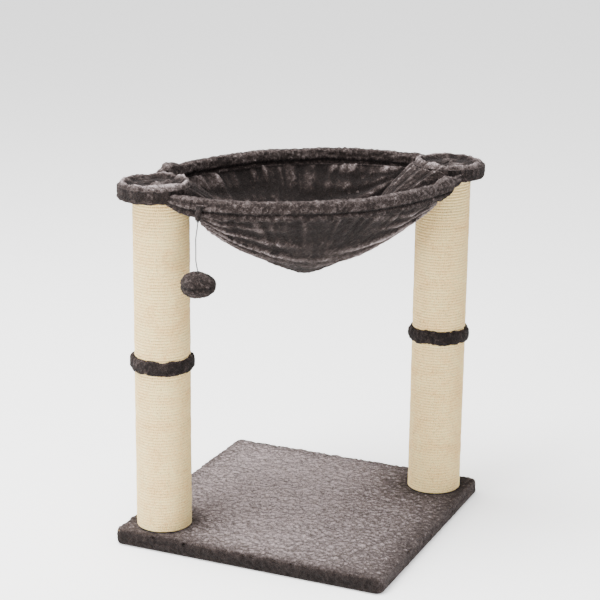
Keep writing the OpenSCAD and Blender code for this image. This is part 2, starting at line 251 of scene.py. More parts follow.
def crest_height(obj, rounds):
    """How far each point stands above its smoothed surroundings."""
    points = read_points(obj)
    edges = np.zeros(len(obj.data.edges) * 2, np.int32)
    obj.data.edges.foreach_get("vertices", edges)
    a, b = edges[::2], edges[1::2]
    count = len(points)
    degree = np.bincount(a, minlength=count) + np.bincount(b, minlength=count)
    smooth = points.copy()
    for _ in range(rounds):
        mean = np.stack([(np.bincount(a, smooth[b, k], count) + np.bincount(b, smooth[a, k], count))
                         / np.maximum(degree, 1) for k in range(3)], -1)
        smooth = 0.4 * smooth + 0.6 * mean
    return ((points - smooth) * read_normals(obj)).sum(1)


CREST_PAINTED_LIGHT, TUFT_PAINTED_LIGHT = 0.34, 0.18  # painted light and shade: how much paler a crest and a tuft's top are painted, and a crease and a dip darker


def plush_surface(obj, pile=0.0009, tuft=0.0035, tone=0.34, painted_top_light=0.16, extra=None, seed=0,
                  rounds=14, relief=0.0011):
    """Gives a mesh the lumpy surface of short plush, and stores its tone with painted light: painted
    highlights on crests, on tufts' tops and where it faces up, and painted shade in creases."""
    p = read_points(obj)
    height = 0.6 * noise(p, tuft * 3, seed) + noise(p, tuft, seed + 1)
    height = height + 0.5 * noise(p, tuft * 0.45, seed + 2)
    shape = np.clip(crest_height(obj, rounds) / relief, -1, 1)
    push_out(obj, pile * height)
    # Painted light and shade: paler where the surface faces up, on crests and on tufts' tops, darker in
    # creases and dips.
    shade = tone + painted_top_light * read_normals(obj)[:, 2] + CREST_PAINTED_LIGHT * shape + TUFT_PAINTED_LIGHT * height
    if extra is not None:
        shade = shade + extra
    set_shade(obj, shade)


# ---- Materials ----

class Nodes:
    """A small helper that adds and links shader nodes."""

    def __init__(self, name):
        self.material = bpy.data.materials.new(name)
        self.material.use_nodes = True
        self.tree = self.material.node_tree
        self.shader = self.tree.nodes["Principled BSDF"]

    def add(self, kind, **inputs):
        node = self.tree.nodes.new(kind)
        for key, value in inputs.items():
            key = key.replace("_", " ")
            if key in node.inputs:
                self.put(node.inputs[key], value)
            else:
                setattr(node, key.replace(" ", "_"), value)
        return node

    def put(self, socket, value):
        if isinstance(value, bpy.types.NodeSocket):
            self.tree.links.new(value, socket)
        else:
            socket.default_value = value

    def shade(self, **inputs):
        for key, value in inputs.items():
            self.put(self.shader.inputs[key.replace("_", " ")], value)

    def place(self, scale=(1, 1, 1), rotation=(0, 0, 0)):
        """Object coordinates, in metres, turned and then stretched."""
        where = self.add("ShaderNodeTexCoord").outputs["Object"]
        turned = self.add("ShaderNodeMapping", Vector=where, Rotation=rotation).outputs["Vector"]
        return self.add("ShaderNodeMapping", Vector=turned, Scale=scale).outputs["Vector"]

    def noise(self, vector, scale, detail=4.0, roughness=0.55, distortion=0.0):
        made = self.add("ShaderNodeTexNoise", Vector=vector, Scale=scale, Detail=detail,
                        Roughness=roughness, Distortion=distortion)
        return made.outputs["Fac"]

    def math(self, operation, a, b=0.0):
        node = self.tree.nodes.new("ShaderNodeMath")
        node.operation = operation
        self.put(node.inputs[0], a)
        self.put(node.inputs[1], b)
        return node.outputs[0]

    def ramp(self, value, *stops):
        node = self.tree.nodes.new("ShaderNodeValToRGB")
        self.put(node.inputs["Fac"], value)
        while len(node.color_ramp.elements) < len(stops):
            node.color_ramp.elements.new(0.5)
        for element, (place, colour) in zip(node.color_ramp.elements, stops):
            element.position = place
            element.color = (*colour, 1)
        return node.outputs["Color"]

    def mix(self, share, a, b):
        node = self.tree.nodes.new("ShaderNodeMix")
        node.data_type = "RGBA"
        self.put(node.inputs[0], share)
        for socket, value in ((node.inputs[6], a), (node.inputs[7], b)):
            self.put(socket, value if isinstance(value, bpy.types.NodeSocket) else (*value, 1))
        return node.outputs[2]

    def bump(self, height, distance, strength=1.0, normal=None):
        node = self.tree.nodes.new("ShaderNodeBump")
        self.put(node.inputs["Height"], height)
        self.put(node.inputs["Distance"], distance)
        self.put(node.inputs["Strength"], strength)
        if normal is not None:
            self.put(node.inputs["Normal"], normal)
        return node.outputs["Normal"]


# The ramp's colours: painted shade in creases, the plush's body, its laid pile, and painted highlights on
# crests.
PLUSH_PAINTED_SHADE = (0.0075, 0.0055, 0.0050)
PLUSH_BODY = (0.030, 0.0215, 0.0195)
PLUSH_LAID = (0.120, 0.097, 0.093)
PLUSH_PAINTED_HIGHLIGHT = (0.420, 0.350, 0.350)
PLUSH_SHEEN = (0.88, 0.78, 0.79, 1)
FIBRES = 800  # fibres in a metre
FIBRE_TONE = 0.70  # how far single fibres change the tone
GAP_SHARP = 16  # how thin the gaps between tufts are


PILE_TURN = math.radians(-23)  # how far the base's pile is brushed away from its sides


def plush_material(name, stretch=(1, 1, 1), turn=0.0, streaks=0.72, gaps=0.16, tufts=250):
    """Short pile, its colour ramped from the stored tone and painted light: painted shade near black in
    its creases, pale mauve-grey where it lies over, up to painted highlights on crests. Thin dark gaps
    wind between its tufts, darkened with painted shade."""
    n = Nodes(name)
    ridge = n.add("ShaderNodeAttribute", attribute_name="ridge").outputs["Fac"]
    lay = n.noise(n.place(stretch, (0, 0, turn)), tufts, 5, 0.66, 1.2)
    fibres = n.noise(n.place(), FIBRES, 3, 0.7)
    near_gap = n.math("ABSOLUTE", n.math("SUBTRACT", n.noise(n.place(stretch, (0, 0, turn + 0.5)),
                                                             tufts * 0.8, 3, 0.6, 1.6), 0.5))
    gap = n.math("SUBTRACT", 1.0, n.math("MINIMUM", n.math("MULTIPLY", near_gap, GAP_SHARP), 1.0))
    value = n.math("ADD", ridge, n.math("MULTIPLY", n.math("SUBTRACT", lay, 0.5), streaks * 2))
    value = n.math("ADD", value, n.math("MULTIPLY", n.math("SUBTRACT", fibres, 0.5), FIBRE_TONE))
    # Painted shade in the gaps between the tufts.
    value = n.math("SUBTRACT", value, n.math("MULTIPLY", gap, gaps))
    colour = n.ramp(value, (0.0, PLUSH_PAINTED_SHADE), (0.34, PLUSH_BODY), (0.68, PLUSH_LAID), (1.0, PLUSH_PAINTED_HIGHLIGHT))
    relief = n.math("SUBTRACT", lay, n.math("MULTIPLY", gap, 0.3))
    normal = n.bump(fibres, 0.0009, 0.8, n.bump(relief, 0.0028, 0.9))
    n.shade(Base_Color=colour, Roughness=0.95, Specular_IOR_Level=0.12, Normal=normal,
            Sheen_Weight=0.06, Sheen_Roughness=0.35, Sheen_Tint=PLUSH_SHEEN)
    return n.material


ROPE_PALE, ROPE_TAN, ROPE_DARK = (1.0, 0.83, 0.40), (0.97, 0.66, 0.27), (0.62, 0.33, 0.11)
# The second colour below is painted shade for the creases between the turns.
ROPE_SPECK, ROPE_PAINTED_SHADE = (0.52, 0.33, 0.15), (0.36, 0.22, 0.10)


def rope_material():
    """Pale sisal: twisted strands across each turn, stray dark fibres, slow stains, and painted shade in
    the creases between the turns."""
    n = Nodes("rope")
    along = n.add("ShaderNodeUVMap", uv_map="turns").outputs["UV"]
    strands = n.add("ShaderNodeTexWave", Vector=n.add("ShaderNodeMapping", Vector=along,
                    Scale=(1, 0.5, 1)).outputs["Vector"], Scale=1.0, Distortion=1.2, Detail=2.0)
    strands.bands_direction = "DIAGONAL"
    fibre = n.noise(n.place((1, 1, 2)), 520, 5, 0.72)
    stain = n.noise(n.place((1, 1, 1.6)), 24, 4, 0.6, 0.6)
    speck = n.noise(n.place((1, 1, 2)), 330, 3, 0.6)
    colour = n.ramp(n.math("ADD", n.math("MULTIPLY", fibre, 0.75), n.math("MULTIPLY", stain, 0.25)),
                    (0.36, ROPE_DARK), (0.46, ROPE_TAN), (0.56, ROPE_PALE))
    colour = n.mix(n.ramp(speck, (0.57, (0, 0, 0)), (0.70, (1, 1, 1))), colour, ROPE_SPECK)
    # Painted shade: the creases between the turns are darkened.
    painted_crease_shade = n.add("ShaderNodeAttribute", attribute_name="ridge").outputs["Fac"]
    colour = n.mix(n.ramp(painted_crease_shade, (0.05, (0.8,) * 3), (0.60, (0, 0, 0))), colour, ROPE_PAINTED_SHADE)
    normal = n.bump(fibre, 0.0016, 1.0, n.bump(strands.outputs["Fac"], 0.0008, 0.9))
    n.shade(Base_Color=colour, Roughness=0.86, Specular_IOR_Level=0.25, Normal=normal,
            Sheen_Weight=0.25, Sheen_Roughness=0.5, Sheen_Tint=(1, 0.92, 0.78, 1))
    return n.material


def wood_material(name, pale, dark, scale):
    """Pressed chips or plywood: flecks of two browns."""
    n = Nodes(name)
    flecks = n.noise(n.place((1, 2.2, 1)), scale, 6, 0.7, 0.8)
    colour = n.ramp(flecks, (0.35, dark), (0.62, pale))
    n.shade(Base_Color=colour, Roughness=0.75, Normal=n.bump(flecks, 0.0006, 0.6))
    return n.material


def cardboard_material():
    """Pale brown card, wound in layers."""
    n = Nodes("cardboard")
    wound = n.add("ShaderNodeTexWave", Vector=n.place((1, 1, 1), (0.5, 0, 0)), Scale=12, Distortion=0.5)
    fibre = n.noise(n.place((1, 1, 4)), 500, 4)
    value = n.math("ADD", n.math("MULTIPLY", wound.outputs["Fac"], 0.3), n.math("MULTIPLY", fibre, 0.7))
    n.shade(Base_Color=n.ramp(value, (0.3, (0.22, 0.14, 0.08)), (0.7, (0.42, 0.30, 0.19))),
            Roughness=0.85, Normal=n.bump(fibre, 0.0003, 0.5))
    return n.material


def plastic_material():
    """Black moulded plastic with a fine grain."""
    n = Nodes("black_plastic")
    grain = n.noise(n.place(), 1500, 3)
    n.shade(Base_Color=n.ramp(grain, (0.3, (0.012, 0.012, 0.013)), (0.7, (0.022, 0.022, 0.023))),
            Roughness=0.45, Normal=n.bump(grain, 0.0002, 0.3))
    return n.material


def metal_material(name, colour, worn, roughness, metallic=1.0):
    """Plated or coated steel with fine scratches and a little wear."""
    n = Nodes(name)
    scratches = n.noise(n.place((6, 1, 1)), 700, 4, 0.7)
    wear = n.noise(n.place(), 90, 5, 0.6)
    rough = n.math("ADD", n.math("MULTIPLY", scratches, 0.25), roughness - 0.12)
    n.shade(Base_Color=n.ramp(wear, (0.35, colour), (0.75, worn)), Metallic=metallic,
            Roughness=rough, Normal=n.bump(scratches, 0.00008, 0.5))
    return n.material


def string_material():
    """Dark twisted cord."""
    n = Nodes("string")
    wound = n.add("ShaderNodeTexWave", Vector=n.place((1, 1, 1), (0.6, 0.4, 0)), Scale=420, Distortion=0.6)
    fibre = n.noise(n.place(), 2500, 3)
    value = n.math("ADD", n.math("MULTIPLY", wound.outputs["Fac"], 0.6), n.math("MULTIPLY", fibre, 0.4))
    n.shade(Base_Color=n.ramp(value, (0.25, (0.030, 0.030, 0.032)), (0.8, (0.105, 0.105, 0.105))),
            Roughness=0.8, Normal=n.bump(value, 0.0003, 0.8), Sheen_Weight=0.3)
    return n.material


def make_materials():
    return {
        "plush": plush_material("plush"),
        "plush_base": plush_material("plush_base", (1.0, 0.6, 1.0), PILE_TURN, 0.50, 0.14, 330),
        "rope": rope_material(),
        "board": wood_material("chipboard", (0.60, 0.44, 0.27), (0.36, 0.23, 0.12), 260),
        "cardboard": cardboard_material(),
        "plug": plastic_material(),
        "zinc": metal_material("zinc", (0.62, 0.62, 0.64), (0.48, 0.47, 0.45), 0.35),
        "rod": metal_material("rod", (0.012, 0.012, 0.012), (0.03, 0.03, 0.03), 0.5, 0.0),
        "string": string_material(),
    }


# ---- The hoop's oval ----

def side_angle(t):
    """The angle on the side arc of what lies as far past the meeting point as t on the end arc."""
    return MEET_ANGLE + (t - MEET_ANGLE) * HOOP_END_R / SIDE_R


def oval_outline(t_start, count):
    """Points and outward directions along the back half of the oval, from the right end to
    the left, in the hoop's own plane. t_start is the end arc's angle at both ends."""
    end = max(MEET_ANGLE - t_start, 0) * HOOP_END_R
    first = side_angle(max(t_start, MEET_ANGLE))
    side = (math.pi - 2 * first) * SIDE_R
    s = np.linspace(0, 2 * end + side, count)
    mirrored = s > end + side / 2
    s = np.where(mirrored, 2 * end + side - s, s)
    on_end = s < end
    angle = np.where(on_end, t_start + s / HOOP_END_R, first + (s - end) / SIDE_R)
    centre_x = np.where(on_end, END_C, 0)
    centre_y = np.where(on_end, 0, -SIDE_C)
    radius = np.where(on_end, HOOP_END_R, SIDE_R)
    flip = np.where(mirrored, -1, 1)
    out = np.stack([flip * np.cos(angle), np.sin(angle)], -1)
    point = np.stack([flip * centre_x, centre_y], -1) + radius[:, None] * out
    return point, out


def tilt(points):
    """Tilts points of the hoop's plane, whose z is measured from the rod."""
    points = np.asarray(points, float)
    out = points.copy()
    c, s = math.cos(HOOP_TILT), math.sin(HOOP_TILT)
    out[..., 1] = c * points[..., 1] - s * points[..., 2]
    out[..., 2] = ROD_Z + s * points[..., 1] + c * points[..., 2]
    return out


# ---- Toy ----

def smooth_path(points, count):
    """Points on a Catmull-Rom curve through a route, evenly spaced by parameter."""
    p = np.asarray(points, float)
    p = np.vstack([2 * p[0] - p[1], p, 2 * p[-1] - p[-2]])
    out = []
    spans = len(p) - 3
    for u in np.linspace(0, spans - 1e-9, count):
        i, f = int(u), u - int(u)
        a, b, c, d = p[i:i + 4]
        out.append(0.5 * (2 * b + (c - a) * f + (2 * a - 5 * b + 4 * c - d) * f**2
                          + (3 * b - a - 3 * c + d) * f**3))
    return np.array(out)


def make_string(materials):
    """The toy's cord: it waves a little on its way down to the ball."""
    knot = np.array(KNOT)
    route = to_row(np.array(STRING_ROUTE) / 1000) + knot
    line = smooth_path(route, 40)
    line[0] = knot + (0, 0, -0.0015)
    curve = bpy.data.curves.new("toy_string_cord", "CURVE")
    curve.dimensions = "3D"
    curve.bevel_depth = STRING_D / 2
    curve.bevel_resolution = 3
    curve.use_fill_caps = True
    spline = curve.splines.new("POLY")
    spline.points.add(len(line) - 1)
    for point, place in zip(spline.points, line):
        point.co = (*place, 1)
    cord = bpy.data.objects.new("string_cord", curve)
    cord.data.materials.append(materials["string"])
    bpy.context.scene.collection.objects.link(cord)
    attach(cord, "toy_cord")
    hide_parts("toy_string")
    return cord, line


BALL_LUMPS = 0.0012  # how far the stuffing's lumps stand out
NUB_AT = np.array([-0.35, -0.10, 1.0])  # the direction of the ball's nub
NUB_H, NUB_SPREAD = 0.0042, 0.028


def make_ball(materials):
    """A stuffed plush ball, a little flat, with a seam round its middle and a nub on top."""
    rows, columns, pole = 90, 180, 0.02
    v = np.linspace(-math.pi / 2 + pole, math.pi / 2 - pole, rows)[:, None]
    u = full_turn(columns)[None, :]
    r = BALL_HIGH.x - BALL.x - 0.0012
    h = BALL_HIGH.z - BALL.z - 0.0010
    flat = np.sign(np.sin(v)) * np.abs(np.sin(v))**0.9
    points = np.stack([r * np.cos(v) * np.cos(u), r * np.cos(v) * np.sin(u), h * flat + 0 * u], -1)
    direction = points / np.linalg.norm(points, axis=-1, keepdims=True)
    lumps = noise(direction, 0.7, 11) * BALL_LUMPS + noise(direction, 0.33, 12) * BALL_LUMPS / 2
    points += direction * lumps[..., None]
    seam = np.exp(-(points[..., 2] / 0.0016)**2)
    points[..., :2] *= (1 - 0.025 * seam)[..., None]
    nub = np.exp(-((direction - NUB_AT / np.linalg.norm(NUB_AT))**2).sum(-1) / NUB_SPREAD)
    points += direction * (NUB_H * nub)[..., None]
    points = to_row(points) + np.array(BALL)
    ball = grid_object("plush_ball", points, materials["plush"])
    # Painted shade along the seam's groove.
    edge = np.append(seam.ravel(), [0, 0])
    plush_surface(ball, 0.0007, 0.0026, tone=0.22, painted_top_light=0.08, extra=-0.25 * edge, seed=20)
    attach(ball, "toy_ball")
    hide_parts("toy_ball")
    return ball


TAB_W, TAB_T = 0.0074, 0.0060


def make_tab(materials):
    """A folded strip of plush that hangs from the rim and grips the string's knot."""
    rows, columns = 60, 64
    centre = (TAB_LOW + TAB_HIGH) / 2
    outward = math.atan2(centre.y, centre.x)
    z = np.linspace(TAB_HIGH.z + 0.004, TAB_LOW.z - 0.0006, rows)[:, None]
    down = (TAB_HIGH.z - z) / (TAB_HIGH.z - TAB_LOW.z)
    u = full_turn(columns)[None, :]
    c, s = np.cos(u), np.sin(u)
    edge = clamp((z - TAB_LOW.z + 0.0006) / 0.003)**0.5
    flare = 1 + 0.45 * clamp(1 - down * 2.2)**2
    across = TAB_W / 2 * np.sign(c) * np.abs(c)**0.6 * flare * (0.75 + 0.25 * edge)
    out = TAB_T / 2 * np.sign(s) * np.abs(s)**0.7 * (0.75 + 0.25 * edge)
    out = out - 0.0035 * clamp(1 - down * 1.6)
    along = np.array([-math.sin(outward), math.cos(outward), 0])
    outer = np.array([math.cos(outward), math.sin(outward), 0])
    points = (np.array([centre.x, centre.y, 0]) + across[..., None] * along + out[..., None] * outer)
    points[..., 2] = z + 0 * u
    tab = grid_object("tab_strip", points, materials["plush"])
    plush_surface(tab, 0.0005, 0.0028, tone=0.12, seed=30, rounds=6)
    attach(tab, "tree")
    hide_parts("toy_tab")


def make_toy(materials):
    """The ball on its string, the tab that holds them, and the knot."""
    cord, line = make_string(materials)
    ball = make_ball(materials)
    make_tab(materials)
    frame["nodes"]["toy_knot"].data.materials.clear()
    frame["nodes"]["toy_knot"].data.materials.append(materials["string"])


# ---- Base ----

BASE_CORNER_R = 0.0115
BASE_EDGE_R = 0.0055  # the rounding of the top edge
BASE_TUCK_R = 0.0035  # and of the edge that is turned under
BASE_PILE = 0.0016  # how far the tufts stand out and dip in
BASE_MARGIN = 0.0010  # room for the pile inside the CAD's outline
BASE_CELLS = 240
STAPLE_PINCH_H, STAPLE_PINCH_R = 0.0009, 0.006


def round_corners(x, y, half, r):
    """Moves points of a square so that its corners become quarter discs of radius r."""
    u = clamp((np.abs(x) - (half - r)) / r)
    v = clamp((np.abs(y) - (half - r)) / r)
    corner = (u > 0) & (v > 0)
    return (np.where(corner, np.sign(x) * (half - r + r * u * np.sqrt(1 - v * v / 2)), x),
            np.where(corner, np.sign(y) * (half - r + r * v * np.sqrt(1 - u * u / 2)), y))


def square_walk(cells):
    """Places round the edge of a grid of cells, anticlockwise from its (-x, -y) corner."""
    run = np.arange(cells)
    none, full = 0 * run, 0 * run + cells
    sides = ((run, none), (full, run), (cells - run, full), (none, cells - run))
    return np.concatenate([np.column_stack(side) for side in sides])


def staple_places():
    """Centres of the staples under the hem, in the row frame."""
    half = BASE_HIGH.x
    span = 2 * (half - HEM_W)
    offsets = (np.arange(STAPLES_PER_SIDE) + 0.5) * span / STAPLES_PER_SIDE - span / 2
    places = []
    for k in range(4):
        turn = k * math.pi / 2
        for x in offsets:
            y = half - HEM_W / 2
            c, s = math.cos(turn), math.sin(turn)
            places.append((x * c - y * s, x * s + y * c))
    return np.array(places)


def cover_rings(unit, half):
    """Outlines of the base cover: over its top edge, down its side, and in under the board."""

    def ring(inset, z):
        reach = half - inset
        x, y = round_corners(*(unit * reach).T, reach, max(BASE_CORNER_R - inset, 0.0012))
        return np.column_stack([x, y, np.full(len(x), z)])

    rings = []
    for angle in np.linspace(0, math.pi / 2, 6)[1:]:
        rings.append(ring(BASE_EDGE_R * (1 - math.sin(angle)),
                          BASE_TOP - BASE_EDGE_R * (1 - math.cos(angle))))
    for z in np.linspace(BASE_TOP - BASE_EDGE_R, BASE_TUCK_R, 8)[1:]:
        rings.append(ring(-0.0006 * math.sin(math.pi * z / BASE_TOP), z))
    for angle in np.linspace(0, math.pi / 2, 5)[1:]:
        rings.append(ring(BASE_TUCK_R * (1 - math.cos(angle)), BASE_TUCK_R * (1 - math.sin(angle))))
    rings += [ring(inset, 0.0) for inset in np.linspace(0.006, HEM_W - 0.0008, 9)]
    board_inset = half - BOARD_HIGH.x
    inner = ((HEM_W, 0.0006), (HEM_W, HEM_T), (board_inset, HEM_T), (board_inset, BOARD_HIGH.z))
    return rings + [ring(inset, z) for inset, z in inner]


def make_base_cover(materials):
    """Thick plush wrapped over the board: rounded edges, a soft tufted pile, and a stapled hem."""
    half, cells = BASE_HIGH.x - BASE_MARGIN, BASE_CELLS
    line = np.linspace(-1, 1, cells + 1)
    flat = half - BASE_EDGE_R
    gx, gy = round_corners(*np.meshgrid(line * flat, line * flat, indexing="ij"),
                           flat, BASE_CORNER_R - BASE_EDGE_R)
    top = np.stack([gx, gy, 0 * gx + BASE_TOP], -1).reshape(-1, 3)
    walk = square_walk(cells)
    rings = cover_rings(line[walk], half)
    hem = np.array(rings).reshape(-1, 3)
    pinch = np.zeros(len(hem))
    for x, y in staple_places():
        away = (hem[:, 0] - x)**2 + (hem[:, 1] - y)**2
        pinch = np.maximum(pinch, np.exp(-away / STAPLE_PINCH_R**2))
    hem[:, 2] += np.where(hem[:, 2] < 0.0005, STAPLE_PINCH_H * pinch, 0)
    count, first = len(walk), len(top)
    faces = [face[::-1] for face in grid_faces(cells + 1, cells + 1, close_columns=False)]
    previous = walk[:, 0] * (cells + 1) + walk[:, 1]
    for k in range(len(rings)):
        current = first + k * count + np.arange(count)
        for j in range(count):
            j2 = (j + 1) % count
            faces.append((previous[j], current[j], current[j2], previous[j2]))
        previous = current
    centre = first + len(hem)
    faces += [(previous[j], centre, previous[(j + 1) % count]) for j in range(count)]
    points = np.vstack([top, hem, [(0, 0, BOARD_HIGH.z)]])
    cover = make_object("base_plush", points, [tuple(int(v) for v in face) for face in faces],
                        materials["plush_base"])
    shape_base_plush(cover)
    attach(cover, "tree")
    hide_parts("base_cover")


def shape_base_plush(cover):
    """Waves and tufts of the base's pile, flat on the underside, with painted light: paler on top, on the
    side facing +x and on tufts' tops, and painted shade along the edges, round the posts and on the tufts'
    slopes.
    """
    p = read_points(cover)
    n = read_normals(cover)
    hidden = 1 + 2 * 4 * BASE_CELLS             # the last two rings and the board's centre
    above = clamp(p[:, 2] / 0.004) * (n[:, 2] > -0.5) * (np.arange(len(p)) < len(p) - hidden)
    along = p[:, 0] * math.cos(PILE_TURN) - p[:, 1] * math.sin(PILE_TURN)
    across = p[:, 0] * math.sin(PILE_TURN) + p[:, 1] * math.cos(PILE_TURN)

    def pile(shift):
        """The height of the tufts, a shift further towards the back."""
        warp = 0.006 * noise(p, 0.030, 41)
        where = np.column_stack([along + warp, (across + shift) / 1.15, p[:, 2]])
        folds = 1 - np.minimum(np.abs(noise(where * (0.8, 1, 1), 0.0050, 43)) / 0.28, 1)
        return 0.6 * noise(where, 0.0048, 42) + 0.7 * noise(where, 0.0032, 46) - 0.25 * folds + 0.1

    slow = noise(p, 0.05, 44) + 0.7 * noise(p, 0.11, 45)
    height = pile(0.0)
    # Height step used for painted light and shade on the tufts' slopes.
    painted_slope_light = pile(-0.0025) - height
    post = POST_A / math.sqrt(2)
    gap = np.minimum(*[np.hypot(p[:, 0] - s * post, p[:, 1] - s * post) for s in (-1, 1)]) - ROPE_R
    pressed = np.exp(-(np.maximum(gap, 0) / 0.006)**2)
    inside = BASE_HIGH.x - np.maximum(np.abs(p[:, 0]), np.abs(p[:, 1]))
    # Painted shade along the base's edges and round the posts.
    turned = np.exp(-np.maximum(inside, 0) / 0.015) + 0.9 * np.exp(-np.maximum(gap, 0) / 0.026)
    up = clamp(n[:, 2])
    # The top's tone turns darker towards +x.
    rightward_share = clamp((p[:, 0] - 0.02) / 0.16)
    push_out(cover, above * (BASE_PILE * height * (1 - 0.7 * pressed) - 0.0012 * pressed * up))
    # Painted light on the top, with painted shade near the edges and posts.
    top_tone_and_painted_light = 0.64 - 0.34 * np.clip(turned, 0, 1.3) - 0.17 * rightward_share + 0.03 * slow
    # Painted light on the side that faces +x.
    painted_right_side_light = clamp(n[:, 0])
    # Paler tufts' tops are painted light too.
    shade = 0.12 + 0.32 * painted_right_side_light + up * (top_tone_and_painted_light + 0.09) + 0.09 * height
    # Painted light and shade on the tufts' slopes.
    set_shade(cover, shade - 0.24 * painted_slope_light * up)


def paint_hidden(materials):
    """Every CAD node that stays as it is gets its finish."""
    for name, obj in frame["nodes"].items():
        slot = next(part["material_slot"] for part in frame["record"]["subparts"] if part["node"] == name)
        obj.data.materials.clear()
        obj.data.materials.append(materials[slot])


# ---- Posts ----

ROPE_UNEVEN, ROPE_WANDER = 0.00034, 0.00022  # how far a turn stands in or out


def make_rope(name, node, turn, materials, seed):
    """One length of rope wound on a tube: a single strip that climbs turn by turn."""
    low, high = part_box(node)
    centre = (low + high) / 2
    turns = round((high.z - low.z) / ROPE_D)
    pitch = (high.z - low.z) / turns
    per_turn, across = 84, 8
    steps = turns * per_turn
    t = np.linspace(0, 1, steps + 1)[:, None]
    lift = (turns - 1) * pitch
    around = 2 * math.pi * turns * t + turn
    v = np.linspace(-math.pi / 2, math.pi / 2, across)[None, :]
    mid = ROPE_R - ROPE_D / 2
    wander = np.interp(t[:, 0] * turns, np.arange(turns + 1), noise(np.column_stack(
        [np.arange(turns + 1) * 0.9, np.zeros(turns + 1), np.zeros(turns + 1)]), 1.0, seed))[:, None]
    place = np.concatenate([np.cos(around), np.sin(around), lift * t / 0.02], 1)
    uneven = ROPE_UNEVEN * noise(place * (6, 6, 1), 1.0, seed + 1)[:, None] + ROPE_WANDER * wander
    radius = mid + uneven + ROPE_D / 2 * np.cos(v)
    climb = clamp((t * turns - 1) / (turns - 2))     # the end turns lie flat
    z = low.z + pitch / 2 + lift * climb + pitch / 2 * np.sin(v) * 1.04
    z = z + 0.00012 * noise(place * (5, 5, 1), 1.0, seed + 2)[:, None]
    z = np.clip(z, low.z + 0.0001, high.z - 0.0001)
    x, y = centre.x + radius * np.cos(around), centre.y + radius * np.sin(around)
    points = np.stack([x, y, z + 0 * around], -1)
    faces = grid_faces(steps + 1, across, close_columns=False)
    rope = make_object(name, points, faces, materials["rope"])
    uv = np.stack([np.repeat(t * turns * 2 * math.pi * mid / ROPE_D, across, 1),
                   np.repeat(v / math.pi, steps + 1, 0)], -1).reshape(-1, 2)
    layer = rope.data.uv_layers.new(name="turns")
    corner = np.zeros(len(rope.data.loops), np.int32)
    rope.data.loops.foreach_get("vertex_index", corner)
    layer.data.foreach_set("uv", uv[corner].ravel().astype(np.float32))
    # Painted shade: 1 across each turn's middle, falling to 0 in the creases between turns.
    set_shade(rope, np.repeat(np.cos(v), steps + 1, 0).ravel())
    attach(rope, "tree")
    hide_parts(node)


def make_band(name, node, materials, seed):
    """A ring of plush rolled round a post, with a frayed, scalloped edge."""
    low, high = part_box(node)
    centre = (low + high) / 2
    columns, rows = 56, 320
    u = full_turn(rows)[:, None]
    v = full_turn(columns)[None, :]
    half_h = (high.z - low.z) / 2
    thick = BAND_R - ROPE_R
    around = np.concatenate([np.cos(u), np.sin(u), 0 * u], 1)
    rise = 0.0013 * noise(around * 2.0, 1.0, seed)[:, None]
    fat = 1 + 0.16 * noise(around * 4.0, 1.0, seed + 1)[:, None]
    c, s = np.cos(v), np.sin(v)
    out = ROPE_R - 0.001 + (thick + 0.001) * np.clip(np.sign(c) * np.abs(c)**0.65, -0.2, 1) * fat
    scallop = 1 + 0.07 * noise(around * 7.0, 1.0, seed + 2)[:, None]
    scallop = scallop + 0.05 * noise(around * 15.0, 1.0, seed + 3)[:, None]
    up = half_h * np.sign(s) * np.abs(s)**0.8 * scallop + rise
    points = np.stack([centre.x + out * np.cos(u), centre.y + out * np.sin(u), centre.z + up], -1)
    band = grid_object(name, points, materials["plush"], close_rows=True)
    plush_surface(band, 0.0009, 0.0036, tone=0.08, painted_top_light=0.10, seed=seed + 4)
    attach(band, "tree")
    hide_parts(node)


# ---- Post tops ----

CAP_EDGE_R = 0.0085
CAP_FAN = 0.075  # the creases fan out from here, inwards of the cap's centre
# Heights and depths of the cap's relief
CAP_ROLL, CAP_GROOVE, CAP_MIDDLE, CAP_HOLLOW = 0.0056, 0.0020, 0.0014, 0.0030
CAP_SPOKE, CAP_CREASE, CAP_WRINKLE = 0.0016, 0.0022, 0.0012


